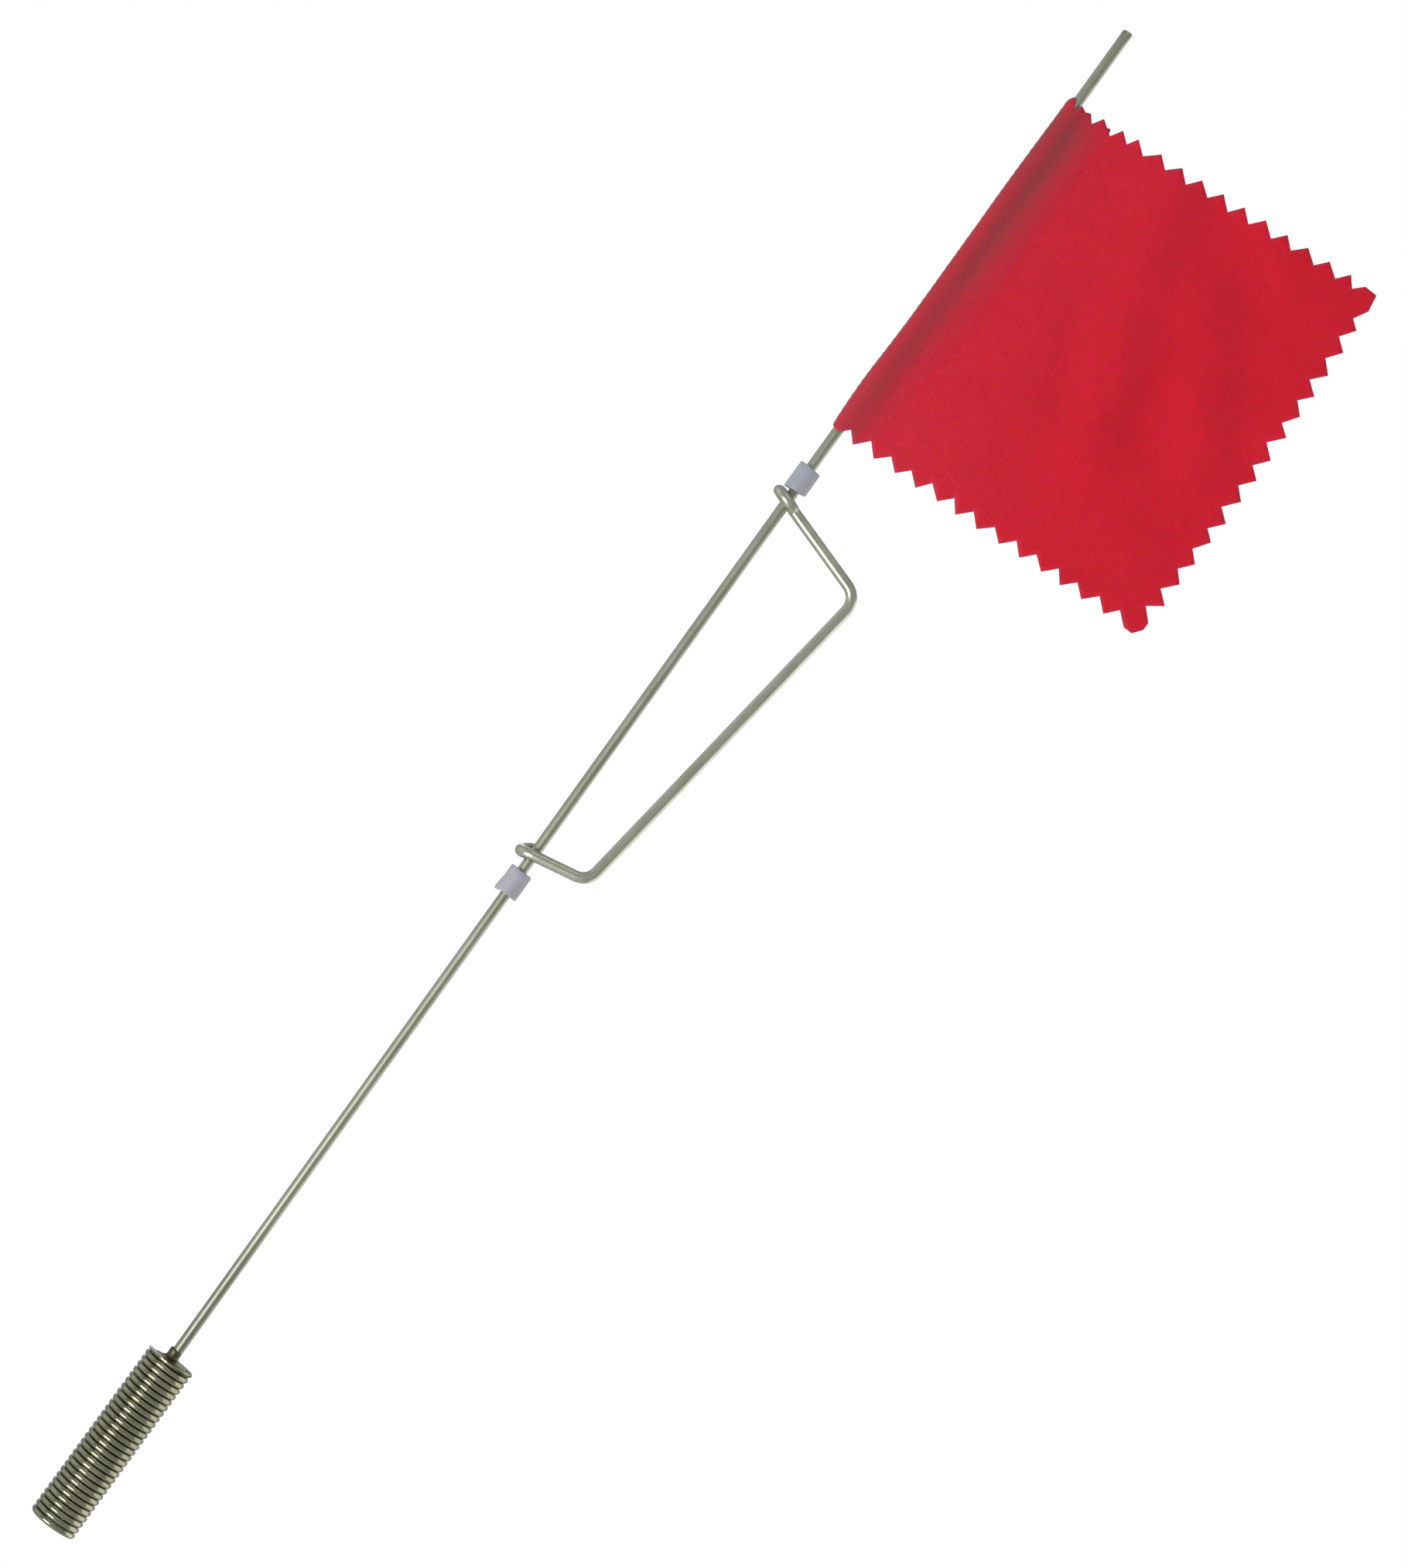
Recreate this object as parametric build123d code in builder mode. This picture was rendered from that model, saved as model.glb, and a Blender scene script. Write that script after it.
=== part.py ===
from build123d import *
from math import cos, radians, sin
import os

# Flag mast of an ice fishing tip up. A close-wound coil spring slips on a round post and carries a
# wire mast. The mast has a pinked cloth flag near its top, and a wire trip bail that turns about it
# between two plastic stops. Millimetres. The origin is the centre of the spring's open lower end,
# +Z runs up the mast, and the flag and the bail reach towards +X.

os.makedirs("parts", exist_ok=True)

# Driving dimensions: the coil spring
SPRING_OUTER_D = 13.0
SPRING_WIRE_D = 1.68
SPRING_PITCH = 1.703
SPRING_L = 50.5  # both ends are ground flat
GRIP_TURNS = 15  # turns that sit on the post
FLEX_TURNS = 14.5  # turns that bend between the post and the mast
COIL_R = (SPRING_OUTER_D - SPRING_WIRE_D) / 2
GRIP_START_Z = 0.52  # the lower side of the first turn is ground off where it starts
FLEX_START_Z = GRIP_START_Z + GRIP_TURNS * SPRING_PITCH

# Driving dimensions: the mast rod and its brazed neck
OVERALL_H = 457.2
ROD_D = 2.7
ROD_R = ROD_D / 2
ROD_FOOT_Z = 45.7
ROD_TIP_CHAMFER = 0.35
NECK_TOP_Z = 53.5
NECK_TOP_R = 1.85
NECK_FLARE_Z = 51.4  # the collar flares out below this
NECK_PLUG_R = 5.1  # the filler reaches the inside of the last turns
NECK_PLUG_Z = 49.0
NECK_RIM_Z = 50.2

# Driving dimensions: the two stop sleeves
STOP_D = 6.0
STOP_L = 7.0
STOP_BORE_D = 2.8
STOP_EDGE_R = 0.3
LOWER_STOP_Z = 193.0  # lower face of the lower sleeve
UPPER_STOP_Z = 316.1  # lower face of the upper sleeve

# Driving dimensions: the trip bail, bent from one wire
BAIL_WIRE_D = 2.9
EYE_R = 3.35  # centre line radius of each eye
UPPER_EYE_WRAP = 230  # degrees of wire in the eye, from the leg to the cut tail
LOWER_EYE_WRAP = 195
UPPER_LEG_Z = 313.06  # height where the upper leg crosses the mast
UPPER_LEG_SLOPE = -18.5  # degrees, falling towards +X
LOWER_LEG_Z = 204.84
LOWER_LEG_SLOPE = 10.0
LOWER_EYE_TIP = 12.0  # degrees that the lower eye leans up towards the back
UPPER_CORNER_X = 28.35
LOWER_CORNER_X = 14.7
UPPER_BEND_R = 5.0
LOWER_BEND_R = 4.5

# Driving dimensions: the flag, one cloth folded round the mast
CLOTH_T = 0.6
SLEEVE_INNER_R = 1.45
FLAP_END_X = 11.5
LAYERS_MEET_X = 5.0
BOND_T = 0.12
BOND_MARGIN = 5.0  # the film stops this far inside the cloth's upper and lower edges
TOOTH_DEPTH = 3.1
LOW_TIPS = ((5.0, 333.9), (79.8, 335.8))  # first and last tooth of the lower edge, as (x, z)
FLY_TIPS = ((91.2, 346.6), (90.4, 429.8))
TOP_TIPS = ((81.3, 440.4), (2.7, 434.9))
LOW_TEETH = 13
FLY_TEETH = 14
TOP_TEETH = 14
FLY_BOW = 0.9  # the fly edge bows out this far from straight
LOW_CORNER = ((82.9, 339.1), (86.1, 336.2), (88.6, 336.1), (90.5, 338.5), (90.5, 340.6), (87.5, 343.7))
TOP_CORNER = ((87.8, 431.8), (89.9, 435.4), (89.2, 439.8), (85.7, 440.0), (83.3, 437.7))
HOIST_LOW_Z = 334.2
HOIST_HIGH_Z = 435.2


def coil(turns, start_z):
    """The centre line of left-hand, close-wound turns that start on the +X side at start_z."""
    rise = turns * SPRING_PITCH
    return Helix(SPRING_PITCH, rise, COIL_R, center=(0, 0, start_z), lefthand=True)


# ---- mast rod: straight wire, its foot inside the spring and its top end cut square
with BuildPart() as mast_rod:
    with BuildSketch(Plane.XY.offset(ROD_FOOT_Z)):
        Circle(ROD_R)
    extrude(amount=OVERALL_H - ROD_FOOT_Z)
    chamfer(mast_rod.edges().group_by(Axis.Z)[-1], ROD_TIP_CHAMFER)
    chamfer(mast_rod.edges().group_by(Axis.Z)[0], ROD_TIP_CHAMFER)

# ---- spring, lower turns: these grip the post
with BuildPart() as spring_grip_coils:
    with BuildLine():
        grip_line = coil(GRIP_TURNS, GRIP_START_Z)
    with BuildSketch(Plane(grip_line @ 0, z_dir=grip_line % 0)):
        Circle(SPRING_WIRE_D / 2)
    sweep(path=grip_line, is_frenet=True)
    split(bisect_by=Plane.XY, keep=Keep.TOP)

# ---- spring, upper turns: these bend, and the mast is brazed into the last of them
with BuildPart() as spring_flex_coils:
    with BuildLine():
        flex_line = coil(FLEX_TURNS, FLEX_START_Z)
    with BuildSketch(Plane(flex_line @ 0, z_dir=flex_line % 0)):
        Circle(SPRING_WIRE_D / 2)
    sweep(path=flex_line, is_frenet=True)
    split(bisect_by=Plane.XY.offset(SPRING_L), keep=Keep.BOTTOM)

# ---- neck braze: filler metal that closes the spring's upper end and climbs the mast as a collar
with BuildPart() as neck_braze:
    with BuildSketch(Plane.XZ):
        with BuildLine():
            Line((ROD_R, NECK_PLUG_Z), (ROD_R, NECK_TOP_Z))
            Line((ROD_R, NECK_TOP_Z), (NECK_TOP_R - 0.3, NECK_TOP_Z))
            Line((NECK_TOP_R - 0.3, NECK_TOP_Z), (NECK_TOP_R, NECK_TOP_Z - 0.6))
            Line((NECK_TOP_R, NECK_TOP_Z - 0.6), (NECK_TOP_R, NECK_FLARE_Z))
            RadiusArc((NECK_TOP_R, NECK_FLARE_Z), (NECK_PLUG_R, NECK_RIM_Z), 3.0)
            Line((NECK_PLUG_R, NECK_RIM_Z), (NECK_PLUG_R, NECK_PLUG_Z))
            Line((NECK_PLUG_R, NECK_PLUG_Z), (ROD_R, NECK_PLUG_Z))
        make_face()
    revolve(axis=Axis.Z)
    add(spring_flex_coils.part, mode=Mode.SUBTRACT)


def stop_sleeve(low_z):
    """A length of plastic tube pushed on the mast, with its cut ends broken."""
    with BuildPart() as sleeve:
        with BuildSketch(Plane.XY.offset(low_z)):
            Circle(STOP_D / 2)
            Circle(STOP_BORE_D / 2, mode=Mode.SUBTRACT)
        extrude(amount=STOP_L)
        rims = sleeve.edges().filter_by(GeomType.CIRCLE)
        fillet([rim for rim in rims if rim.radius > STOP_D / 4], STOP_EDGE_R)
    return sleeve


lower_stop_sleeve = stop_sleeve(LOWER_STOP_Z)
upper_stop_sleeve = stop_sleeve(UPPER_STOP_Z)


def eye_points(centre, leg_dir, across, wrap):
    """Start, middle and end of an eye: it leaves the leg at centre + across and turns round the mast."""
    points = []
    for share in (0, 0.5, 1):
        turn = radians(wrap * share)
        points.append(centre + across * (EYE_R * cos(turn)) - leg_dir * (EYE_R * sin(turn)))
    return points


# ---- trip bail: eye, leg, long side, leg and eye of one bent wire
upper_leg_dir = Vector(cos(radians(UPPER_LEG_SLOPE)), 0, sin(radians(UPPER_LEG_SLOPE)))
lower_leg_dir = Vector(cos(radians(LOWER_LEG_SLOPE)), 0, sin(radians(LOWER_LEG_SLOPE)))
upper_across = Vector(0, 1, 0)
lower_tilt = Vector(0, -cos(radians(LOWER_EYE_TIP)), -sin(radians(LOWER_EYE_TIP)))
lower_across = (lower_tilt - lower_leg_dir * lower_tilt.dot(lower_leg_dir)).normalized()
upper_eye_centre = Vector(0, 0, UPPER_LEG_Z)
lower_eye_centre = Vector(0, 0, LOWER_LEG_Z - EYE_R * lower_across.Z)
upper_eye = eye_points(upper_eye_centre, upper_leg_dir, upper_across, UPPER_EYE_WRAP)
lower_eye = eye_points(lower_eye_centre, lower_leg_dir, lower_across, LOWER_EYE_WRAP)
upper_corner = upper_eye[0] + upper_leg_dir * (UPPER_CORNER_X / upper_leg_dir.X)
lower_corner = lower_eye[0] + lower_leg_dir * (LOWER_CORNER_X / lower_leg_dir.X)

with BuildPart() as trip_bail:
    with BuildLine() as bail_line:
        ThreePointArc(upper_eye[2], upper_eye[1], upper_eye[0])
        FilletPolyline(
            upper_eye[0],
            upper_corner,
            lower_corner,
            lower_eye[0],
            radius=[UPPER_BEND_R, LOWER_BEND_R],
        )
        ThreePointArc(lower_eye[0], lower_eye[1], lower_eye[2])
    bail_wire = bail_line.wire()
    with BuildSketch(Plane(bail_wire @ 0, z_dir=bail_wire % 0)):
        Circle(BAIL_WIRE_D / 2)
    sweep(path=bail_wire)


def pinked_edge(tips, count, inward, bow=0.0):
    """Tips and roots of a pinked edge between its first and last tip; inward points into the cloth."""
    first, last = Vector(*tips[0]), Vector(*tips[1])
    points = []
    for i in range(2 * count - 1):
        share = i / (2 * count - 2)
        depth = TOOTH_DEPTH if i % 2 else 0
        bulge = 4 * bow * share * (1 - share)
        points.append(first + (last - first) * share + inward * (depth - bulge))
    return points


# ---- flag cloth: a flap behind, a fold round the mast and the panel in front
layer_y = BOND_T / 2 + CLOTH_T / 2
fold_r = SLEEVE_INNER_R + CLOTH_T / 2
tangent_x = 0.4
outline = [Vector(-fold_r - CLOTH_T, HOIST_LOW_Z), Vector(1.9, HOIST_LOW_Z + TOOTH_DEPTH)]
outline += pinked_edge(LOW_TIPS, LOW_TEETH, Vector(0, 1))
outline += [Vector(*point) for point in LOW_CORNER]
outline += pinked_edge(FLY_TIPS, FLY_TEETH, Vector(-1, 0), FLY_BOW)
outline += [Vector(*point) for point in TOP_CORNER]
outline += pinked_edge(TOP_TIPS, TOP_TEETH, Vector(0, -1))
outline.append(Vector(-fold_r - CLOTH_T, HOIST_HIGH_Z))
fly_x = max(point.X for point in outline)
low_z = min(point.Y for point in outline)
high_z = max(point.Y for point in outline)
with BuildPart() as flag_cloth:
    with BuildSketch(Plane.XY.offset(low_z)):
        with BuildLine():
            Polyline((FLAP_END_X, layer_y), (LAYERS_MEET_X, layer_y), (tangent_x, fold_r))
            ThreePointArc((tangent_x, fold_r), (-fold_r, 0), (tangent_x, -fold_r))
            Polyline((tangent_x, -fold_r), (LAYERS_MEET_X, -layer_y), (fly_x, -layer_y))
        trace(line_width=CLOTH_T)
    extrude(amount=high_z - low_z)
    with BuildSketch(Plane.XZ):
        with BuildLine():
            Polyline(*outline, close=True)
        make_face()
    extrude(amount=2 * fold_r, both=True, mode=Mode.INTERSECT)

# ---- hem bond: the adhesive film that holds the flap to the back of the panel
with BuildPart() as hem_bond:
    with BuildSketch(Plane.XY.offset(HOIST_LOW_Z + BOND_MARGIN)):
        with Locations(((LAYERS_MEET_X + FLAP_END_X) / 2, 0)):
            Rectangle(FLAP_END_X - LAYERS_MEET_X, BOND_T)
    extrude(amount=HOIST_HIGH_Z - HOIST_LOW_Z - 2 * BOND_MARGIN)

pieces = {
    "spring_grip_coils": spring_grip_coils,
    "spring_flex_coils": spring_flex_coils,
    "mast_rod": mast_rod,
    "neck_braze": neck_braze,
    "lower_stop_sleeve": lower_stop_sleeve,
    "upper_stop_sleeve": upper_stop_sleeve,
    "trip_bail": trip_bail,
    "flag_cloth": flag_cloth,
    "hem_bond": hem_bond,
}
for name, piece in pieces.items():
    piece.part.label = name
    export_step(piece.part, f"parts/{name}.step")
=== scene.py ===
"""Flag mast of an ice fishing tip up: coil spring, wire mast, trip bail, two stop sleeves and a flag.

Lengths are in millimetres and are turned into metres where a mesh is made. +Z runs up the mast, the flag
and the bail reach towards +X, and the camera looks along +Y.
"""
import math
import random

import bpy
from mathutils import Euler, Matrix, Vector, noise
from mathutils.geometry import delaunay_2d_cdt


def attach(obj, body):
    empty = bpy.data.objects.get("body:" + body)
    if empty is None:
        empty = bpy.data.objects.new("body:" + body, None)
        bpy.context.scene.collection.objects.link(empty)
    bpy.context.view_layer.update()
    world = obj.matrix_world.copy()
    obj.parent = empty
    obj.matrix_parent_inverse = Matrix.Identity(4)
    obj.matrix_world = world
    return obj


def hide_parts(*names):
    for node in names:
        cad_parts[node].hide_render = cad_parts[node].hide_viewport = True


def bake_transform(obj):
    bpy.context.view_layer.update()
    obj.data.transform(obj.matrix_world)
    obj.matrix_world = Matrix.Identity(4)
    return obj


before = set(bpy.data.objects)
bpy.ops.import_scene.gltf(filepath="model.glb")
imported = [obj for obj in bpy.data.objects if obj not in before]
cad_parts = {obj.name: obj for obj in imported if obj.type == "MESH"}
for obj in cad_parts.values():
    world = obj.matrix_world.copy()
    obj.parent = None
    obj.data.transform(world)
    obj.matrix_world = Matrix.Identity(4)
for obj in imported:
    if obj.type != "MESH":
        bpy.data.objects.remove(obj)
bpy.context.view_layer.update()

MM = 0.001
TURN = 2 * math.pi
SEED = 11

# The spring: one wire, wound left-hand, with both ends ground flat
WIRE_R = 0.84
COIL_R = 5.66
PITCH = 1.703
TURNS = 29.5
COIL_START_Z = 0.52
SPRING_L = 50.5
COIL_TILT = 0.03  # each turn's rise towards +X over its width
SPRING_LEAN = 0.4  # how far the spring's foot stands towards -X
COIL_STEPS = 52  # rings in each turn

# The mast rod
ROD_R = 1.35
ROD_FOOT_Z = 45.7
ROD_TOP_Z = 457.2
ROD_LEAN = 1.0  # how far the mast's top is bent towards the flag
ROD_LEAN_Z = (326, 451)  # the heights where the bend starts and ends
ROD_POINTS = 120

# The brazed neck
COLLAR_SHIFT = -0.29  # the collar stands off the mast's axis
SKIRT_LIFT = 0.16  # how uneven the spread filler's surface is

# The stop sleeves; each end slants by a lean, its rise towards +X at the rim
STOP_R = 3.0
STOP_BORE_R = 1.4
STOP_L = 7.0
LOWER_STOP_Z = 193.0
UPPER_STOP_Z = 316.1
LOWER_STOP_LEANS = (-0.2, -0.1)  # lower end, upper end
UPPER_STOP_LEANS = (0.3, -0.2)
LOWER_STOP_BURR = 0.55

# The trip bail
BAIL_R = 1.45
EYE_R = 3.35
UPPER_EYE_WRAP = 230
LOWER_EYE_WRAP = 195
UPPER_LEG = (313.06, -18.5)  # height at the mast, slope in degrees
LOWER_LEG = (204.84, 10.0)
LOWER_EYE_TIP = 12.0  # degrees that the lower eye leans up towards the back
LOWER_EYE_SAG = 0.8  # how much lower than that its middle was closed
UPPER_CORNER_X = 28.35
LOWER_CORNER_X = 14.7
UPPER_BEND_R = 5.0
LOWER_BEND_R = 4.5
EYE_STEPS = 40

# The flag
CLOTH_T = 0.4
LAYER_Y = 0.26  # each layer's middle, from the plane of the adhesive film
FOLD_R = 1.63
FLAP_END_X = 11.5  # the flap's cut edge, above the narrow foot
FLAP_TAPER = 2.6  # how much narrower its foot is
FLAP_SHORT = 0.35  # how far its top edge stands below the front's
TOOTH_DEPTH = 3.1
TOOTH_WANDER = 0.12  # how unevenly the shears stepped, as a share of half a tooth's width
GRID = 1.2  # size of the cloth's triangles
LOW_TIPS = ((5.0, 333.9), (79.8, 335.8), 13)  # first tip, last tip and number of teeth
FLY_TIPS = ((91.2, 346.6), (90.4, 429.8), 14)
TOP_TIPS = ((81.3, 440.4), (25.1, 437.1), 10)
FLY_BOW = 0.9  # the fly edge bows out this far from straight
LOW_CORNER = ((82.9, 339.1), (86.1, 336.2), (88.6, 336.1), (90.5, 338.5), (90.5, 340.6), (87.5, 343.7))
TOP_CORNER = ((87.8, 431.8), (89.9, 435.4), (89.2, 439.8), (85.7, 440.0), (83.3, 437.7))
TOP_HOIST = (  # the top edge near the mast, where front and flap were cut together
    (21.9, 434.1), (18.6, 436.9), (16.9, 434.2), (14.2, 436.4), (12.3, 433.4), (8.65, 436.0), (6.9, 433.2),
    (5.2, 435.2), (3.84, 434.6), (2.1, 435.3), (1.3, 433.0),
)
FLAP_END = (  # the flap's edges as (distance from the fold, height), down and then back to the fold
    (10.6, 434.6), (11.3, 435.0), (11.7, 434.4), (11.5, 385.0), (11.3, 372.0), (10.2, 362.0), (9.0, 350.0),
)
FLAP_FOOT = ((8.6, 338.6), (8.1, 337.7), (5.0, 334.6), (2.6, 336.9), (1.6, 336.1), (0.4, 335.6))

# The studio
FLOOR_Z = -700
FLOOR_REACHES = (0.0001, 150, 400, 800, 1300)
FLOOR_SIDES = 64


def clamp(value):
    return min(1.0, max(0.0, value))


def smooth(value):
    """A soft step: 0 up to 0, 1 from 1."""
    value = clamp(value)
    return value * value * (3 - 2 * value)


def bell(value, centre, width):
    """1 at centre, falling off to both sides."""
    return math.exp(-((value - centre) / width) ** 2 / 2)


# ---------------------------------------------------------------- meshes


def mesh_piece(name, points, faces, uvs, sharp=50):
    """A mesh object from points and UVs in millimetres; uvs has a (u, v) for each corner of each face."""
    mesh = bpy.data.meshes.new(name)
    mesh.from_pydata([tuple(p * MM for p in point) for point in points], [], faces)
    layer = mesh.uv_layers.new(name="UVMap")
    corners = (uv for face_uvs in uvs for uv in face_uvs)
    for loop, uv in zip(layer.data, corners):
        loop.uv = (uv[0] * MM, uv[1] * MM)
    mesh.polygons.foreach_set("use_smooth", [True] * len(mesh.polygons))
    mesh.validate()
    mesh.set_sharp_from_angle(angle=math.radians(sharp))
    piece = bpy.data.objects.new(name, mesh)
    bpy.context.scene.collection.objects.link(piece)
    return piece


def skin(rings, girths, lengths, closed_ends=True):
    """Faces and UVs over rings of equal size; girths and lengths are the UVs' size at each ring."""
    sides = len(rings[0])
    points = [point for ring in rings for point in ring]
    faces = []
    uvs = []
    for i in range(len(rings) - 1):
        for j in range(sides):
            k = (j + 1) % sides
            faces.append((i * sides + j, i * sides + k, (i + 1) * sides + k, (i + 1) * sides + j))
            left = j / sides
            right = (j + 1) / sides
            low, high = lengths[i], lengths[i + 1]
            wide, next_wide = girths[i], girths[i + 1]
            lower = ((left * wide, low), (right * wide, low))
            uvs.append(lower + ((right * next_wide, high), (left * next_wide, high)))
    if closed_ends:
        last = (len(rings) - 1) * sides
        for ring_start, order in ((0, -1), (last, 1)):
            rim = [ring_start + j for j in range(sides)][::order]
            faces.append(tuple(rim))
            uvs.append([(points[i][0] + points[i][1], points[i][2]) for i in rim])
    return points, faces, uvs


def wire_mesh(name, path, radius, sides=20, cut=0.3, slant=0.0):
    """A wire along path, a list of Vectors. Each end has a bevel of length cut and a face tipped by slant."""
    count = len(path)
    tangents = []
    for i in range(count):
        tangents.append((path[min(i + 1, count - 1)] - path[max(i - 1, 0)]).normalized())
    side = tangents[0].orthogonal().normalized()
    rings = []
    lengths = []
    girths = []
    run = 0.0
    bevel = ((0.0, 1.0), (0.45 * cut, 0.93), (cut, 0.72))  # distance out, share of the radius
    ends = {0: bevel[::-1], count - 1: bevel}
    for i, centre in enumerate(path):
        tangent = tangents[i]
        if i:
            run += (centre - path[i - 1]).length
            side = (side - tangent * side.dot(tangent)).normalized()
        up = tangent.cross(side)
        way = -1 if i == 0 else 1
        for out, share in ends.get(i, ((0.0, 1.0),)):
            ring = []
            for j in range(sides):
                turn = TURN * j / sides
                lean = slant * math.cos(turn) * (out / cut if cut else 0)
                spot = centre + (side * math.cos(turn) + up * math.sin(turn)) * radius * share
                ring.append(spot + tangent * way * (out + lean))
            rings.append(ring)
            lengths.append(run + way * out)
            girths.append(TURN * radius)
    return mesh_piece(name, *skin(rings, girths, lengths))


def arc(centre, across, along, start, end, steps, radius):
    """Points round centre: start and end are degrees from across towards along."""
    points = []
    for i in range(steps + 1):
        turn = math.radians(start + (end - start) * i / steps)
        points.append(centre + across * (radius * math.cos(turn)) + along * (radius * math.sin(turn)))
    return points


def bend(before, corner, after, radius, steps=14):
    """The rounded corner of a bent wire, from one straight run to the next."""
    back = (before - corner).normalized()
    on = (after - corner).normalized()
    half = back.angle(on) / 2
    centre = corner + (back + on).normalized() * (radius / math.sin(half))
    start = corner + back * (radius / math.tan(half)) - centre
    end = corner + on * (radius / math.tan(half)) - centre
    axis = start.cross(end).normalized()
    sweep = start.angle(end)
    across = start.normalized()
    return arc(centre, across, axis.cross(across), 0, math.degrees(sweep), steps, radius)


def straight(start, end, steps):
    """The points between start and end, without either."""
    return [start.lerp(end, i / steps) for i in range(1, steps)]


# ---------------------------------------------------------------- materials


class Nodes:
    """A material's node tree, with short calls for the nodes used here."""

    def __init__(self, name):
        self.material = bpy.data.materials.new(name)
        self.material.use_nodes = True
        self.tree = self.material.node_tree
        self.shader = self.tree.nodes["Principled BSDF"]
        self.coords = self.add("ShaderNodeTexCoord")

    def add(self, kind, **settings):
        node = self.tree.nodes.new(kind)
        for key, value in settings.items():
            setattr(node, key, value)
        return node

    def link(self, source, target):
        self.tree.links.new(source, target)

    def value(self, **settings):
        """Sets sockets of the shader; underscores stand for spaces."""
        for key, amount in settings.items():
            self.shader.inputs[key.replace("_", " ")].default_value = amount

    def stretched(self, scale, space="Object"):
        node = self.add("ShaderNodeMapping")
        node.inputs["Scale"].default_value = scale
        self.link(self.coords.outputs[space], node.inputs["Vector"])
        return node.outputs["Vector"]

    def noise(self, vector, scale=1.0, detail=3.0, roughness=0.55):
        node = self.add("ShaderNodeTexNoise")
        node.inputs["Scale"].default_value = scale
        node.inputs["Detail"].default_value = detail
        node.inputs["Roughness"].default_value = roughness
        self.link(vector, node.inputs["Vector"])
        return node.outputs["Fac"]

    def ramp(self, source, *stops):
        """A colour ramp; each stop is (position, colour)."""
        node = self.add("ShaderNodeValToRGB")
        elements = node.color_ramp.elements
        for position, colour in stops[2:]:
            elements.new(position)
        for element, (position, colour) in zip(elements, sorted(stops)):
            element.position = position
            element.color = (*colour, 1.0)
        self.link(source, node.inputs["Fac"])
        return node.outputs["Color"]

    def spread(self, source, low, high, new_low, new_high):
        """Maps the range low to high onto new_low to new_high."""
        node = self.add("ShaderNodeMapRange")
        limits = {"From Min": low, "From Max": high, "To Min": new_low, "To Max": new_high}
        for socket, amount in limits.items():
            node.inputs[socket].default_value = amount
        self.link(source, node.inputs["Value"])
        return node.outputs["Result"]

    def maths(self, operation, first, second):
        node = self.add("ShaderNodeMath", operation=operation)
        for socket, item in zip(node.inputs, (first, second)):
            if isinstance(item, float):
                socket.default_value = item
            else:
                self.link(item, socket)
        return node.outputs["Value"]

    def mix(self, factor, first, second, blend="MIX"):
        """Mixes colours; factor is a socket or a number, first and second are sockets or (r, g, b)."""
        node = self.add("ShaderNodeMix", data_type="RGBA", blend_type=blend)
        # A colour mix uses socket 0 for its factor, 6 and 7 for its colours and 2 for its result.
        if isinstance(factor, float):
            node.inputs[0].default_value = factor
        else:
            self.link(factor, node.inputs[0])
        for socket, item in ((node.inputs[6], first), (node.inputs[7], second)):
            if isinstance(item, bpy.types.NodeSocket):
                self.link(item, socket)
            else:
                socket.default_value = (*item, 1.0)
        return node.outputs[2]

    def height(self):
        """Height in metres above the spring's foot."""
        parts = self.add("ShaderNodeSeparateXYZ")
        self.link(self.coords.outputs["Object"], parts.inputs["Vector"])
        return parts.outputs["Z"]

    def bump(self, height, distance, strength=1.0, under=None):
        node = self.add("ShaderNodeBump")
        node.inputs["Strength"].default_value = strength
        node.inputs["Distance"].default_value = distance
        self.link(height, node.inputs["Height"])
        if under:
            self.link(under, node.inputs["Normal"])
        return node.outputs["Normal"]

    def attribute(self, name):
        """One of the mesh's point attributes, written where the mesh is made."""
        return self.add("ShaderNodeAttribute", attribute_name=name).outputs["Fac"]

    def colour(self, source):
        self.link(source, self.shader.inputs["Base Color"])

    def rough(self, source):
        self.link(source, self.shader.inputs["Roughness"])

    def normal(self, source):
        self.link(source, self.shader.inputs["Normal"])


def drawn_wire(name, dark, light, tarnish, roughness, spots=0.5, foot_shade=None):
    """Drawn and plated wire: long die lines, soft patches of tint and small dull spots.

    foot_shade is (low, high, shade): painted shade that darkens the wire to shade up to the height low,
    and leaves it as it was from the height high.
    """
    made = Nodes(name)
    made.value(Metallic=1.0)
    patches = made.noise(made.stretched((260, 260, 90)), detail=4.0)
    tint = made.ramp(patches, (0.32, dark), (0.68, light))
    spotting = made.noise(made.stretched((1500, 1500, 1100)), detail=5.0, roughness=0.7)
    mask = made.spread(spotting, 0.56, 0.72, 0.0, spots)
    colour = made.mix(mask, tint, tarnish)
    if foot_shade:
        low, high, shade = foot_shade
        # Painted shade: the wire is darker towards the mast's foot.
        colour = made.mix(1.0, colour, made.spread(made.height(), low, high, shade, 1.0), "MULTIPLY")
    made.colour(colour)
    lines = made.noise(made.stretched((7000, 45, 1), "UV"), detail=2.0)
    rub = made.noise(made.stretched((1600, 500, 1), "UV"), detail=4.0)
    amount = made.maths("ADD", made.maths("MULTIPLY", lines, 0.10), made.maths("MULTIPLY", rub, 0.14))
    made.rough(made.maths("ADD", amount, roughness - 0.12))
    fine = made.bump(lines, 0.000006, 0.3)
    made.normal(made.bump(spotting, 0.00001, 0.3, under=fine))
    return made.material


spring_metal = drawn_wire(
    "spring_wire", (0.215, 0.220, 0.135), (0.320, 0.315, 0.230), (0.105, 0.103, 0.065), 0.165
)
bail_metal = drawn_wire(
    "bail_wire", (0.39, 0.40, 0.30), (0.50, 0.50, 0.42), (0.26, 0.255, 0.18), 0.30, spots=0.3
)
# The mast wire has painted shade towards its foot.
mast_metal = drawn_wire(
    "mast_wire", (0.30, 0.31, 0.225), (0.38, 0.38, 0.31), (0.21, 0.205, 0.145), 0.40, spots=0.35,
    foot_shade=(0.058, 0.100, 0.68),
)


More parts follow.
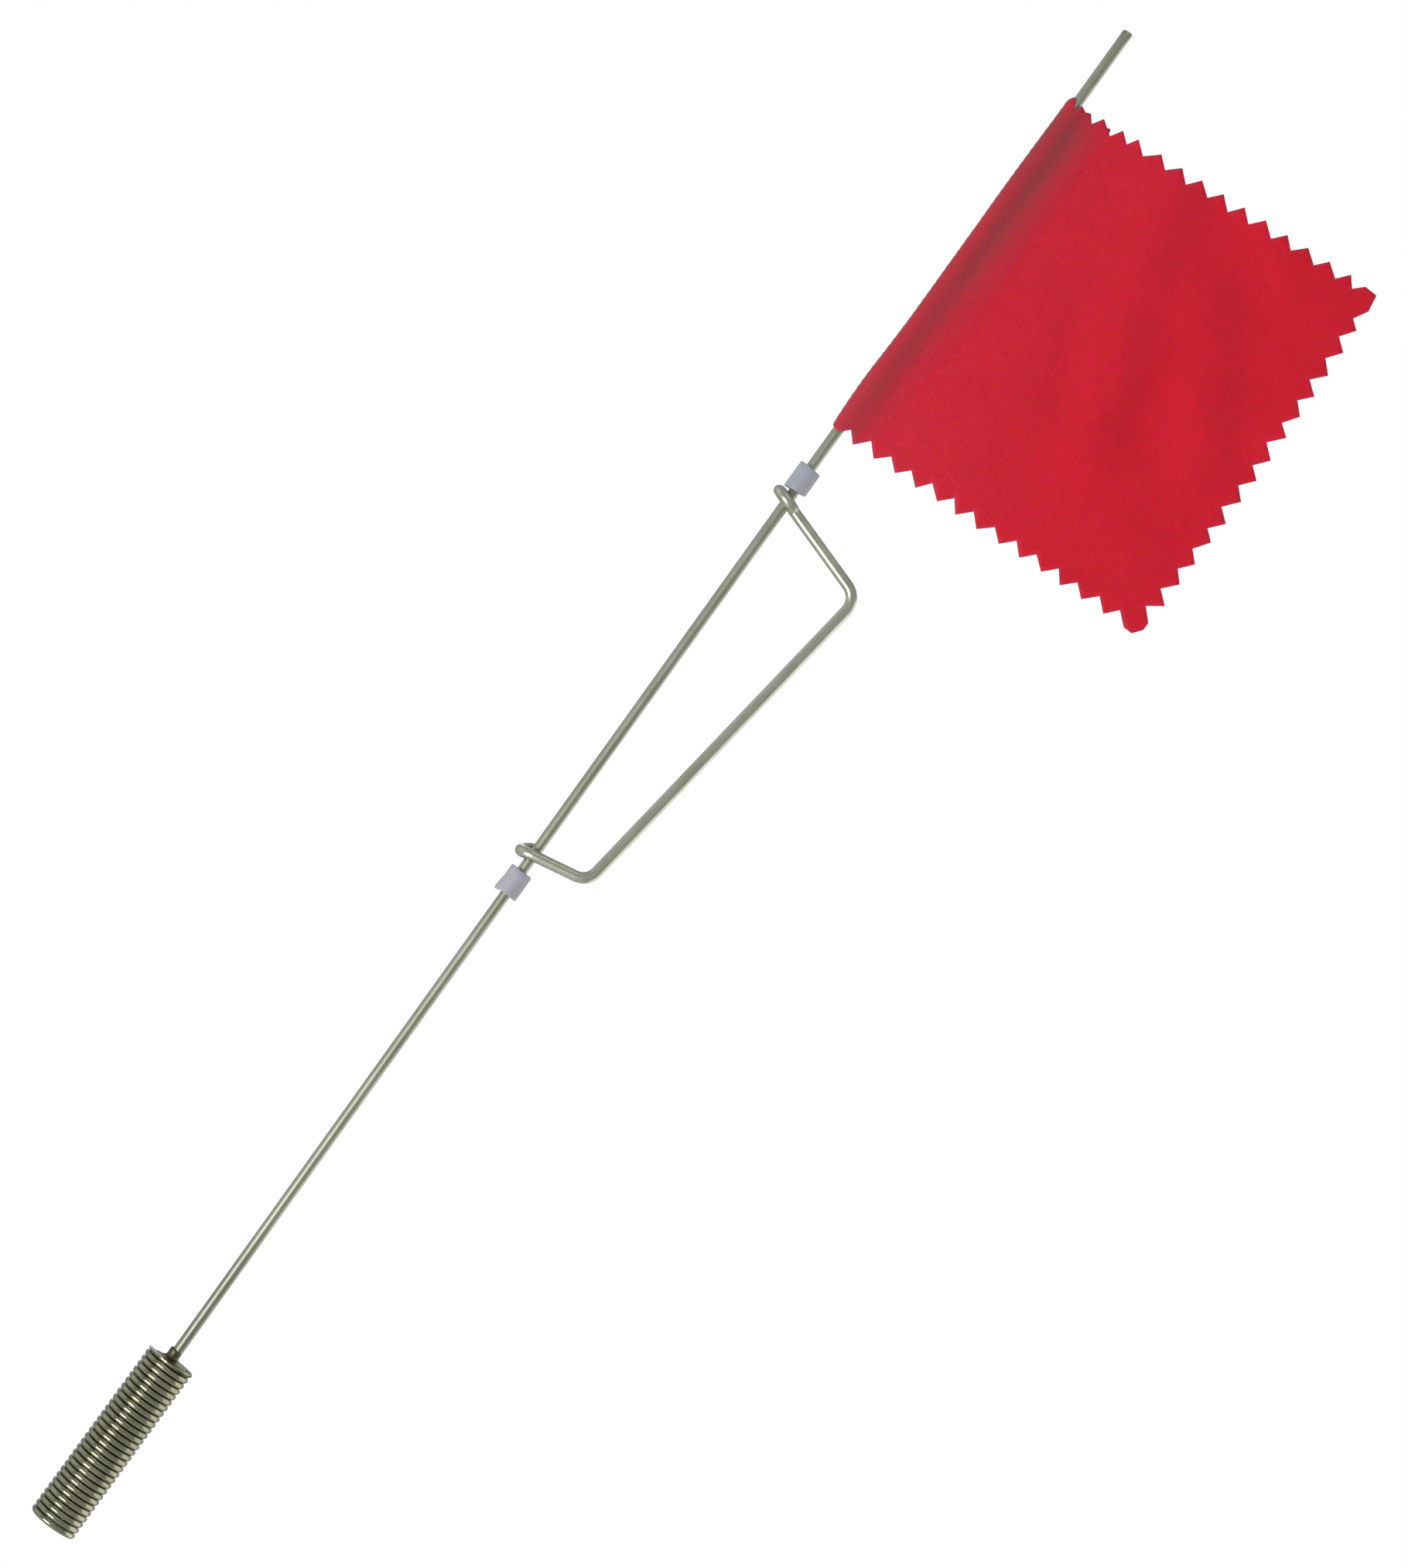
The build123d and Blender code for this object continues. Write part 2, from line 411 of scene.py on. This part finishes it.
def braze_metal():
    """Brazing filler and its scale: dark olive with straw and purple-brown heat tints."""
    made = Nodes("braze")
    made.value(Metallic=0.9, Specular_Tint=(0.55, 0.56, 0.48, 1.0))
    heat = made.noise(made.stretched((520, 520, 420)), detail=5.0, roughness=0.6)
    tint = made.ramp(
        heat,
        (0.32, (0.050, 0.050, 0.034)),
        (0.46, (0.098, 0.100, 0.062)),
        (0.58, (0.150, 0.152, 0.090)),
        (0.72, (0.230, 0.225, 0.140)),
    )
    scale = made.noise(made.stretched((900, 900, 500)), detail=4.0)
    purple = made.spread(scale, 0.5, 0.68, 0.0, 0.7)
    made.colour(made.mix(purple, tint, (0.120, 0.075, 0.095)))
    made.rough(made.spread(heat, 0.3, 0.7, 0.5, 0.26))
    lumps = made.noise(made.stretched((1500, 1500, 1500)), detail=3.0)
    made.normal(made.bump(lumps, 0.00006, 0.5))
    return made.material


def sleeve_plastic():
    """Soft milky tube: grey-lilac, slightly see-through, with fine length lines and faint scuffs."""
    made = Nodes("stop_plastic")
    made.value(
        Subsurface_Weight=0.35, Subsurface_Radius=(0.0012, 0.001, 0.0013), Subsurface_Scale=1.0, IOR=1.49
    )
    cloud = made.noise(made.stretched((380, 380, 200)), detail=3.0)
    made.colour(made.ramp(cloud, (0.3, (0.29, 0.295, 0.335)), (0.7, (0.35, 0.355, 0.40))))
    scuffs = made.noise(made.stretched((900, 160, 1), "UV"), detail=3.0, roughness=0.5)
    made.rough(made.spread(scuffs, 0.35, 0.7, 0.36, 0.55))
    made.normal(made.bump(scuffs, 0.000004, 0.15))
    return made.material


def flag_fabric():
    """Red cotton cloth: a plain weave of uneven threads, paler where cut, with painted sheen towards the mast
    and the lower edge and painted shade beside the rod and over the flap.
    """
    made = Nodes("flag_fabric")
    made.value(Roughness=0.88, Specular_IOR_Level=0.2)
    made.value(Sheen_Weight=0.35, Sheen_Roughness=0.45, Sheen_Tint=(1.0, 0.62, 0.66, 1.0))
    thread = 2600.0
    waves = []
    for axis in "XY":
        wave = made.add("ShaderNodeTexWave", wave_type="BANDS", bands_direction=axis, wave_profile="SIN")
        wave.inputs["Scale"].default_value = thread / TURN
        wave.inputs["Distortion"].default_value = 0.7
        wave.inputs["Detail"].default_value = 2.0
        wave.inputs["Detail Scale"].default_value = 0.6
        made.link(made.coords.outputs["UV"], wave.inputs["Vector"])
        waves.append(wave.outputs["Fac"])
    weave = made.maths("MULTIPLY", waves[0], waves[1])
    slubs = made.noise(made.stretched((300, 2600, 1), "UV"), detail=3.0)
    slubs_up = made.noise(made.stretched((2600, 260, 1), "UV"), detail=3.0)
    yarn = made.maths("ADD", made.maths("MULTIPLY", slubs, 0.5), made.maths("MULTIPLY", slubs_up, 0.5))
    wear = made.noise(made.stretched((45, 45, 1), "UV"), detail=4.0)
    body = made.ramp(wear, (0.3, (0.58, 0.0062, 0.020)), (0.7, (0.66, 0.0076, 0.025)))
    # Painted sheen: the cloth is paler and greyer towards the mast and the lower edge.
    body = made.mix(made.attribute("painted_sheen"), body, (0.62, 0.0165, 0.037))
    shade = made.spread(yarn, 0.35, 0.65, 0.0, 1.0)
    threads = made.mix(shade, (0.80, 0.74, 0.76), (1.0, 1.0, 1.0))
    cloth = made.mix(1.0, body, threads, "MULTIPLY")
    fleck = made.noise(made.stretched((1300, 1300, 1), "UV"), detail=2.0)
    dye = made.ramp(fleck, (0.42, (1.02, 0.55, 1.45)), (0.58, (0.94, 1.6, 0.65)))
    cloth = made.mix(0.9, cloth, made.mix(1.0, cloth, dye, "MULTIPLY"))
    # Painted shade: the cloth is darker and greyer where the flap lies behind it and no light comes through.
    shaded_over_flap = made.mix(1.0, cloth, (0.93, 1.15, 1.12), "MULTIPLY")
    cloth = made.mix(made.attribute("flap_shade"), cloth, shaded_over_flap)
    # Painted shade: the cloth is darkened and greyed in the valley beside the rod and along the fold's
    # crease.
    patchy = made.noise(made.stretched((160, 90, 1), "UV"), detail=4.0)
    shade_depth = made.spread(patchy, 0.3, 0.7, 0.52, 0.72)
    amount = made.maths("MULTIPLY", made.attribute("rod_shade"), shade_depth)
    cloth = made.mix(amount, cloth, (0.22, 0.045, 0.050))
    fray = made.noise(made.stretched((2100, 2100, 1), "UV"), detail=3.0)
    frayed = made.spread(fray, 0.35, 0.65, 0.05, 0.45)
    pale = made.maths("MULTIPLY", made.attribute("cut_edge"), frayed)
    made.colour(made.mix(pale, cloth, (0.62, 0.045, 0.115)))
    relief = made.bump(weave, 0.00006, 0.55)
    nap = made.noise(made.stretched((1500, 1500, 1), "UV"), detail=5.0, roughness=0.7)
    soft = made.bump(nap, 0.00009, 0.45, under=relief)
    made.normal(made.bump(yarn, 0.00005, 0.4, under=soft))
    return made.material


def cut_edge_fabric():
    """The cut threads along the pinked edge: paler and rougher than the cloth's face."""
    made = Nodes("flag_cut_edge")
    made.value(Roughness=0.95, Sheen_Weight=0.5, Sheen_Roughness=0.5)
    ends = made.noise(made.stretched((3800, 3800, 3800)), detail=3.0)
    made.colour(made.ramp(ends, (0.35, (0.42, 0.03, 0.05)), (0.7, (0.66, 0.14, 0.19))))
    made.normal(made.bump(ends, 0.0001, 0.7))
    return made.material


def film_adhesive():
    """The film between the flag's two layers, tinted by the cloth on both sides."""
    made = Nodes("hem_adhesive")
    made.value(IOR=1.47)
    streaks = made.noise(made.stretched((500, 500, 120)), detail=3.0)
    made.colour(made.ramp(streaks, (0.35, (0.50, 0.20, 0.16)), (0.65, (0.58, 0.27, 0.22))))
    made.rough(made.spread(streaks, 0.3, 0.7, 0.25, 0.45))
    return made.material


def floor_paint():
    """Pale, matt and faintly mottled."""
    made = Nodes("studio_floor")
    made.value(Roughness=0.7)
    mottle = made.noise(made.stretched((3, 3, 3)), detail=3.0)
    made.colour(made.ramp(mottle, (0.3, (0.80, 0.80, 0.80)), (0.7, (0.84, 0.84, 0.835))))
    return made.material


def wear_material(piece, material):
    """Gives a piece this one material."""
    piece.data.materials.clear()
    piece.data.materials.append(material)


# ---------------------------------------------------------------- spring


def coil_path():
    """The spring's centre line: left-hand turns with small unevenness."""
    path = []
    for i in range(round(TURNS * COIL_STEPS) + 1):
        turn = TURN * i / COIL_STEPS
        radius = COIL_R + 0.03 * noise.noise(Vector((i * 0.013, 2.7, SEED)))
        rise = COIL_START_Z + PITCH * i / COIL_STEPS + 0.02 * noise.noise(Vector((i * 0.009, 7.1, SEED)))
        x = radius * math.cos(turn)
        lean = SPRING_LEAN * (rise / SPRING_L - 1)
        path.append(Vector((x + lean, -radius * math.sin(turn), rise + COIL_TILT * x)))
    return path


coil_spring = wire_mesh("coil_spring", coil_path(), WIRE_R, sides=22, cut=0.1)
for vertex in coil_spring.data.vertices:
    vertex.co.z = min(SPRING_L * MM, max(0.0, vertex.co.z))  # the ground ends
coil_spring.data.set_sharp_from_angle(angle=math.radians(40))
wear_material(coil_spring, spring_metal)
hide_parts("spring_grip_coils", "spring_flex_coils")
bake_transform(coil_spring)

# ---------------------------------------------------------------- mast


def rod_lean(z):
    """The rod's top third was bent a little towards the flag."""
    low, high = ROD_LEAN_Z
    return ROD_LEAN * smooth((z - low) / (high - low))


rod_path = []
for i in range(ROD_POINTS):
    height = ROD_FOOT_Z + 0.3 + (ROD_TOP_Z - ROD_FOOT_Z - 0.7) * i / (ROD_POINTS - 1)
    rod_path.append(Vector((rod_lean(height), 0, height)))
mast_wire = wire_mesh("mast_wire", rod_path, ROD_R, sides=32, cut=0.32, slant=0.07)
wear_material(mast_wire, mast_metal)
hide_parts("mast_rod")
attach(mast_wire, "mast")


def neck_braze():
    """The brazed joint: a collar up the mast, with filler that spreads over the last turn towards +X."""
    sides = 96
    rings = []
    reaches = []
    profile = [  # height and reach on the -X side, then on the +X side
        (49.2, 1.4, 49.2, 1.4), (49.2, 4.5, 49.2, 4.6), (50.0, 4.62, 49.65, 6.25),
        (50.3, 4.6, 49.9, 6.5), (50.4, 4.3, 50.2, 6.5), (50.48, 3.9, 50.5, 6.15),
        (50.6, 3.3, 50.66, 5.4), (50.75, 2.8, 50.8, 4.5), (50.95, 2.35, 50.95, 3.5),
        (51.15, 2.0, 51.1, 2.6), (51.35, 1.76, 51.24, 2.05), (51.6, 1.66, 51.45, 1.76),
        (51.9, 1.64, 51.8, 1.66), (52.5, 1.66, 52.4, 1.64), (53.0, 1.66, 52.9, 1.66),
        (53.3, 1.61, 53.2, 1.62), (53.46, 1.5, 53.34, 1.5), (53.5, 1.38, 53.38, 1.4),
        (53.3, 1.25, 53.2, 1.25),
    ]
    for left_z, left_reach, right_z, right_reach in profile:
        ring = []
        for j in range(sides):
            turn = TURN * j / sides
            way = Vector((math.cos(turn), math.sin(turn), 0))
            right = smooth((0.9 * way.x - 0.4 * way.y + 0.25) / 0.95)
            reach = left_reach + (right_reach - left_reach) * right
            height = left_z + (right_z - left_z) * right
            lump = noise.noise(Vector((way.x * 1.5, way.y * 1.5, height * 0.7)))
            wide = smooth((reach - 1.9) / 1.6)
            reach += (0.05 + 0.2 * wide) * lump * smooth((reach - 1.45) / 0.2)
            height += wide * smooth((height - 50.3) / 0.3) * SKIRT_LIFT * lump
            height += 0.2 * noise.noise(way * 1.7) * smooth((height - 52.8) / 0.5)
            ring.append(way * reach + Vector((COLLAR_SHIFT * smooth((height - 50.9) / 0.6), 0, height)))
        rings.append(ring)
        reaches.append(TURN * left_reach)
    lengths = [row[0] + row[1] for row in profile]
    return mesh_piece("neck_fillet", *skin(rings, reaches, lengths, closed_ends=False), sharp=70)


neck_fillet = neck_braze()
wear_material(neck_fillet, braze_metal())
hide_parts("neck_braze")
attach(neck_fillet, "mast")

# ---------------------------------------------------------------- stop sleeves


def stop_sleeve(name, low_z, lean, seed, burr=0.0):
    """A length of tube cut with a knife: its two ends slant by lean and are ragged.

    burr is how far the plastic is torn down and out at its foot, on the -X side.
    """
    sides = 64
    foot = [  # radius and height, from the bore out and up
        (STOP_BORE_R, 0.16), (STOP_BORE_R + 0.14, 0.0), (STOP_R - 0.55, 0.0), (STOP_R - 0.22, 0.03),
        (STOP_R - 0.06, 0.13), (STOP_R, 0.34), (STOP_R + 0.03, 1.6),
    ]
    profile = [(radius, height, 0) for radius, height in foot]
    profile.append((STOP_R + 0.02, STOP_L / 2, 0.5))
    profile += [(radius, STOP_L - height, 1) for radius, height in reversed(foot)]
    rings = []
    lengths = []
    run = 0.0
    for i, (radius, height, end) in enumerate(profile):
        ring = []
        near_end = abs(2 * end - 1)
        for j in range(sides):
            turn = TURN * j / sides
            way = Vector((math.cos(turn), math.sin(turn), 0))
            tilt = lean[0] * (1 - end) + lean[1] * end
            ragged = 0.07 * noise.noise(Vector((way.x * 2, way.y * 2, seed + 9 * end)))
            oval = 0.05 * noise.noise(Vector((way.x, way.y, seed + height * 0.3)))
            shift = near_end * (tilt * way.x + ragged) * radius / STOP_R
            torn = burr * smooth((-way.x - 0.45) / 0.5) * smooth((3.2 - height) / 2.4)
            torn *= smooth((radius - 2) / 0.8)
            reach = radius + (oval if radius > 2 else 0) + 0.6 * torn
            drop = torn * smooth(1 - height / 2)
            ring.append(way * reach + Vector((0, 0, low_z + height + shift - drop)))
        rings.append(ring)
        if i:
            run += math.hypot(radius - profile[i - 1][0], height - profile[i - 1][1])
        lengths.append(run)
    rings.append([Vector(p) for p in rings[0]])
    lengths.append(run + STOP_L)
    girths = [TURN * STOP_R] * len(rings)
    piece = mesh_piece(name, *skin(rings, girths, lengths, closed_ends=False), sharp=60)
    wear_material(piece, plastic)
    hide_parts(f"{name}_sleeve")
    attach(piece, name)


plastic = sleeve_plastic()
stop_sleeve("lower_stop", LOWER_STOP_Z, LOWER_STOP_LEANS, 2, burr=LOWER_STOP_BURR)
stop_sleeve("upper_stop", UPPER_STOP_Z, UPPER_STOP_LEANS, 5)

# ---------------------------------------------------------------- trip bail


def bail_path():
    """Eye, leg, long side, leg and eye: the solid's line, but the lower eye sags a little."""
    directions = []
    for height, slope in (UPPER_LEG, LOWER_LEG):
        directions.append(Vector((math.cos(math.radians(slope)), 0, math.sin(math.radians(slope)))))
    upper_dir, lower_dir = directions
    upper_across = Vector((0, 1, 0))
    tip = math.radians(LOWER_EYE_TIP)
    tilt = Vector((0, -math.cos(tip), -math.sin(tip)))
    lower_across = (tilt - lower_dir * tilt.dot(lower_dir)).normalized()
    upper_centre = Vector((0, 0, UPPER_LEG[0]))
    lower_centre = Vector((0, 0, LOWER_LEG[0] - EYE_R * lower_across.z))
    upper_eye = arc(upper_centre, upper_across, -upper_dir, UPPER_EYE_WRAP, 0, EYE_STEPS, EYE_R)
    lower_eye = arc(lower_centre, lower_across, -lower_dir, 0, LOWER_EYE_WRAP, EYE_STEPS, EYE_R)
    for i, point in enumerate(lower_eye):
        point.z -= LOWER_EYE_SAG * math.sin(math.radians(LOWER_EYE_WRAP) * i / EYE_STEPS) ** 2
    upper_corner = upper_eye[-1] + upper_dir * (UPPER_CORNER_X / upper_dir.x)
    lower_corner = lower_eye[0] + lower_dir * (LOWER_CORNER_X / lower_dir.x)
    upper_bend = bend(upper_eye[-1], upper_corner, lower_corner, UPPER_BEND_R)
    lower_bend = bend(upper_corner, lower_corner, lower_eye[0], LOWER_BEND_R)
    path = upper_eye + straight(upper_eye[-1], upper_bend[0], 12) + upper_bend
    path += straight(upper_bend[-1], lower_bend[0], 40) + lower_bend
    return path + straight(lower_bend[-1], lower_eye[0], 6) + lower_eye


bail_wire = wire_mesh("bail_wire", bail_path(), BAIL_R, sides=28, cut=0.16, slant=0.1)
wear_material(bail_wire, bail_metal)
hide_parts("trip_bail")
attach(bail_wire, "bail")

# ---------------------------------------------------------------- flag

chance = random.Random(SEED)


def pinked(tips, inward, bow=0.0, lean=0.0):
    """Tips and roots between an edge's first and last tip, cut with shears that never step quite evenly."""
    first, last, count = Vector(tips[0]), Vector(tips[1]), tips[2]
    points = []
    for i in range(2 * count - 1):
        root = i % 2
        share = (i + lean * root) / (2 * count - 2)
        depth = TOOTH_DEPTH * (1 + chance.uniform(-0.08, 0.08)) if root else chance.uniform(-0.15, 0.15)
        along = (last - first) * (share + chance.uniform(-TOOTH_WANDER, TOOTH_WANDER) / count / 2)
        points.append(first + along + Vector(inward) * (depth - 4 * bow * share * (1 - share)))
    return points


def flag_outline():
    """The flat cloth's outline as (distance from the fold, height); the flap has negative distances."""
    quarter = FOLD_R * math.pi / 2
    front = pinked(LOW_TIPS, (0, 1), lean=0.06) + [Vector(p) for p in LOW_CORNER]
    front += pinked(FLY_TIPS, (-1, 0), FLY_BOW, lean=-0.14)
    front += [Vector(p) for p in TOP_CORNER] + pinked(TOP_TIPS, (0, -1)) + [Vector(p) for p in TOP_HOIST]
    points = [Vector((-0.4, 335.8)), Vector((0.9, 334.9)), Vector((2.4, 334.3))]
    points += [Vector((quarter + x, z)) for x, z in ((0.9, 334.7), (1.6, 335.6), (2.6, 336.6))]
    points += [Vector((quarter + p.x, p.y)) for p in front]
    points += [Vector((1.97, 436.1)), Vector((0.65, 434.7)), Vector((-0.7, 434.3))]
    points += [Vector((-quarter - x, z - FLAP_SHORT)) for x, z in reversed(TOP_HOIST[5:])]
    return points + [Vector((-quarter - x, z)) for x, z in FLAP_END + FLAP_FOOT]


def inside(point, outline, margin):
    """True if point lies in the outline and at least margin from every edge."""
    crossings = 0
    for a, b in zip(outline, outline[1:] + outline[:1]):
        if (a.y > point.y) != (b.y > point.y):
            if point.x < a.x + (b.x - a.x) * (point.y - a.y) / (b.y - a.y):
                crossings += 1
        edge = b - a
        near = clamp((point - a).dot(edge) / edge.length_squared)
        if (a + edge * near - point).length < margin:
            return False
    return crossings % 2 == 1


def ridge(x, z, start, end, width, height):
    """A diagonal fold: the cloth stands forward on one side of the line and back on the other."""
    line = Vector((end[0] - start[0], end[1] - start[1]))
    away = Vector((x - start[0], z - start[1]))
    along = away.dot(line) / line.length_squared
    off = (away.x * -line.y + away.y * line.x) / line.length / width
    window = smooth((along + 0.25) / 0.45) * smooth((1.25 - along) / 0.45)
    return height * off * math.exp(0.5 - off * off / 2) * window


def billow(x, z):
    """How far the free panel stands back (+) from its flat plane."""
    free = smooth((x - 9) / 26)
    # Each ridge has a start and an end as (x, z), then a width and a height.
    depth = ridge(x, z, (37, 439), (58, 371), 7.5, 1.15)
    depth += ridge(x, z, (53, 427), (84, 380), 7.0, 1.0)
    depth += ridge(x, z, (27, 395), (40, 362), 6.0, 0.5)
    depth += 0.9 * bell(x, 83, 6) * bell(z, 408, 8) + 0.7 * bell(x, 77, 6) * bell(z, 433, 6)
    depth += -1.3 * smooth((x - 50) / 40) * smooth((372 - z) / 36)
    waves = 0.5 * noise.noise(Vector((x * 0.045, z * 0.04, SEED)))
    waves += 0.16 * noise.noise(Vector((x * 0.14, z * 0.13, 4)))
    return (depth + waves) * free


def meeting(z):
    """How far from the rod the front layer has come down on the flap."""
    return 4.4 + 3.0 * smooth((400 - z) / 60)


def cloth_place(u, z):
    """Where a point of the flat cloth lies on the finished flag."""
    radius = FOLD_R + 0.6 * bell(z, 347, 9) + 0.05 * noise.noise(Vector((z * 0.12, 1.3, SEED)))
    quarter = FOLD_R * math.pi / 2
    side = -1 if u > 0 else 1
    pull = 0.3 * smooth((z - 405) / 30)
    if abs(u) <= quarter:
        turn = u / FOLD_R
        return Vector((pull - radius * math.cos(turn), -radius * math.sin(turn), z))
    x = abs(u) - quarter
    fall = smooth((x - rod_lean(z)) / meeting(z))
    y = LAYER_Y + (radius - LAYER_Y) * (1 - fall) + 0.05 * noise.noise(Vector((x * 0.3, z * 0.06, 9.0)))
    if u > 0:
        y -= 0.3 * smooth((x - flap_edge(z) + 0.6) / 2.2)
    return Vector((x + pull * smooth(1 - x / 6), side * y + billow(x, z), z))


def flap_edge(z):
    """How far from the mast the flap's cut edge is: it was cut narrower towards its foot."""
    return FLAP_END_X - FLAP_TAPER * smooth((374 - z) / 30)


def cloth_rod_shade(u, z):
    """0 to 1: painted shade, deepest in the valley beside the rod, where the rod's ridge shades the cloth,
    and along the fold's crease.
    """
    x = abs(u) - FOLD_R * math.pi / 2
    up = smooth((z - 350) / 50)
    off = x - 1.7 - 1.3 * up
    valley = bell(off, 0, 2.6 + up if off > 0 else 2.2) * (0.62 + 0.55 * smooth((z - 345) / 85))
    crease = (0.55 + 0.4 * smooth((z - 395) / 25)) * smooth(1 - x / 1.5)
    return max(valley, crease) * (0.25 + 0.75 * smooth((435 - z) / 6))


def cloth_flap_shade(u, z):
    """1 where the flap lies behind the cloth and 0 beyond the flap: painted shade, for the light that no
    longer comes through the cloth there.
    """
    return 1 - smooth((abs(u) - FOLD_R * math.pi / 2 - flap_edge(z) + 0.5) / 1.2)


def cloth_sheen(u, z):
    """0 to 1: painted sheen, paler and greyer towards the mast and the lower edge, where the low key light
    glances off the cloth.
    """
    x = abs(u) - FOLD_R * math.pi / 2
    return 0.75 * (1 - smooth(x / 62)) + 0.35 * smooth((368 - z) / 34) * (1 - 0.6 * smooth(x / 80))


def flag_mesh():
    """The cloth: its flat outline filled with even triangles, then laid on the mast by cloth_place."""
    outline = []
    corners = flag_outline()
    for a, b in zip(corners, corners[1:] + corners[:1]):
        steps = max(1, round((b - a).length / GRID))
        outline += [a.lerp(b, i / steps) for i in range(steps)]
    points = list(outline)
    low = Vector((min(p.x for p in outline), min(p.y for p in outline)))
    high = Vector((max(p.x for p in outline), max(p.y for p in outline)))
    row = 0
    height = low.y
    while height < high.y:
        u = low.x + (GRID / 2 if row % 2 else 0)
        while u < high.x:
            spot = Vector((u, height))
            if inside(spot, outline, GRID * 0.42):
                points.append(spot)
            u += GRID
        height += GRID * math.sqrt(3) / 2
        row += 1
    rim = len(outline)
    edges = [(i, (i + 1) % rim) for i in range(rim)]
    flat, _, faces, source, _, _ = delaunay_2d_cdt(points, edges, [], 1, 1e-6)
    flat_rim = [i for i, origins in enumerate(source) if any(origin < rim for origin in origins)]
    places = [cloth_place(p.x, p.y) for p in flat]
    uvs = [[flat[i] for i in face] for face in faces]
    piece = mesh_piece("flag", places, faces, uvs, sharp=180)
    cut = piece.data.attributes.new("cut_edge", "FLOAT", "POINT")
    for i in flat_rim:
        cut.data[i].value = 1.0
    for name, rule in (("rod_shade", cloth_rod_shade), ("flap_shade", cloth_flap_shade), ("painted_sheen", cloth_sheen)):
        layer = piece.data.attributes.new(name, "FLOAT", "POINT")
        for i, p in enumerate(flat):
            layer.data[i].value = rule(p.x, p.y)
    return piece


flag = flag_mesh()
flag.data.materials.append(flag_fabric())
flag.data.materials.append(cut_edge_fabric())
thickness = flag.modifiers.new("thickness", "SOLIDIFY")
thickness.thickness = CLOTH_T * MM
thickness.offset = 0
thickness.material_offset_rim = 1
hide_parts("flag_cloth")
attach(flag, "mast")

wear_material(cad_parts["hem_bond"], film_adhesive())

# ---------------------------------------------------------------- studio


def floor():
    """A pale round floor, well below the spring."""
    rings = []
    for reach in FLOOR_REACHES:
        turns = [TURN * j / FLOOR_SIDES for j in range(FLOOR_SIDES)]
        rings.append([Vector((reach * math.cos(turn), reach * math.sin(turn), FLOOR_Z)) for turn in turns])
    piece = mesh_piece("studio_floor", *skin(rings, [1.0] * len(rings), FLOOR_REACHES, closed_ends=False))
    wear_material(piece, floor_paint())


def area_light(name, place, target, size, power, colour):
    """A rectangular softbox that looks at target, with place, target and size in metres."""
    light = bpy.data.lights.new(name, "AREA")
    light.shape = "RECTANGLE"
    light.size, light.size_y = size
    light.energy = power
    light.color = colour
    lamp = bpy.data.objects.new(name, light)
    lamp.location = place
    lamp.rotation_euler = (Vector(target) - Vector(place)).to_track_quat("-Z", "Y").to_euler()
    lamp.visible_camera = False
    bpy.context.scene.collection.objects.link(lamp)


floor()
area_light("key_softbox", (-0.52, -1.01, -0.36), (0, 0, 0.1), (0.62, 0.40), 12.2, (1.0, 1.0, 1.0))
area_light("left_softbox", (-0.95, 0.05, 0.20), (0, 0, 0.22), (1.0, 1.2), 1.5, (0.95, 0.97, 1.0))
area_light("right_softbox", (0.80, 0.30, 0.15), (0, 0, 0.15), (0.8, 1.2), 3.6, (1.0, 0.99, 0.93))
area_light("top_softbox", (-0.1, -0.80, 1.45), (0, 0, 0.25), (0.9, 0.7), 1.0, (1.0, 1.0, 1.0))
area_light("back_softbox", (0.10, 1.20, 0.60), (0.02, 0, 0.25), (1.0, 0.6), 2.2, (1.0, 1.0, 1.0))

# The room lights the object with a soft grey, and the camera sees white paper behind it.
world = bpy.data.worlds.new("studio")
bpy.context.scene.world = world
world.use_nodes = True
tree = world.node_tree
room = tree.nodes["Background"]
room.inputs["Color"].default_value = (0.82, 0.84, 0.86, 1.0)
room.inputs["Strength"].default_value = 0.62
paper = tree.nodes.new("ShaderNodeBackground")
paper.inputs["Color"].default_value = (1.0, 1.0, 1.0, 1.0)
paper.inputs["Strength"].default_value = 1.0
seen = tree.nodes.new("ShaderNodeLightPath")
choice = tree.nodes.new("ShaderNodeMixShader")
tree.links.new(seen.outputs["Is Camera Ray"], choice.inputs["Fac"])
tree.links.new(room.outputs["Background"], choice.inputs[1])
tree.links.new(paper.outputs["Background"], choice.inputs[2])
tree.links.new(choice.outputs["Shader"], tree.nodes["World Output"].inputs["Surface"])

camera_data = bpy.data.cameras.new("camera")
camera_data.sensor_width = 36.0
camera_data.sensor_height = 36.0
camera_data.sensor_fit = "AUTO"
camera_data.lens = 138.65
camera = bpy.data.objects.new("camera", camera_data)
camera.location = (0.02415, -1.5, 0.2439)
camera.rotation_euler = Euler((math.radians(90), math.radians(-35.64), 0))
bpy.context.scene.collection.objects.link(camera)
bpy.context.scene.camera = camera
bpy.context.scene.view_settings.view_transform = "Standard"
